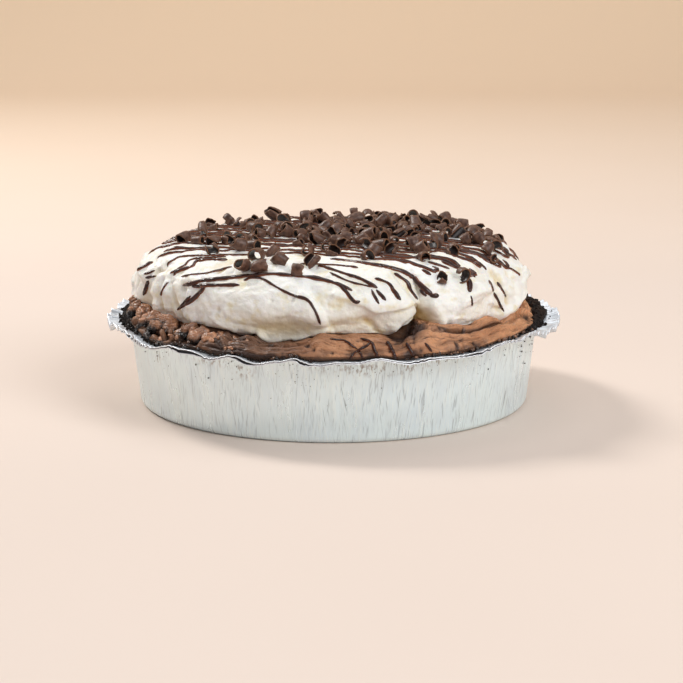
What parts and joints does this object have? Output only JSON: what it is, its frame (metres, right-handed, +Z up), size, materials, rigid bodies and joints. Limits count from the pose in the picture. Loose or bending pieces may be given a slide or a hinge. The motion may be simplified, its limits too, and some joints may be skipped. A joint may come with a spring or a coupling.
{
  "type": "chocolate cream pie in a foil tin",
  "caption": "Round chocolate cream pie in a crinkled foil tin, with a crumb crust, whipped cream, chocolate lines and chocolate curls.",
  "frame": {"origin": "middle of the foil tin's flat underside", "axes": "+Z up; the side that the picture shows faces -Y, with +X to its right"},
  "size_m": [0.232, 0.232, 0.093],
  "materials": {
    "foil": "thin bright foil with fine upright wrinkles and a crinkled rim",
    "crumbs": "pressed dark biscuit crumbs, dull, with a few moist glints",
    "filling": "soft chocolate mousse, smoothed with a spatula at the right and torn at the left",
    "cream": "thick whipped cream, soft sheen, with spatula folds",
    "chocolate": "thin glossy chocolate lines and satin chocolate curls"
  },
  "bodies": {
    "root": {"foil_tin": "foil", "crumb_crust": "crumbs", "chocolate_filling": "filling", "whipped_cream": "cream"}
  },
  "joints": []
}
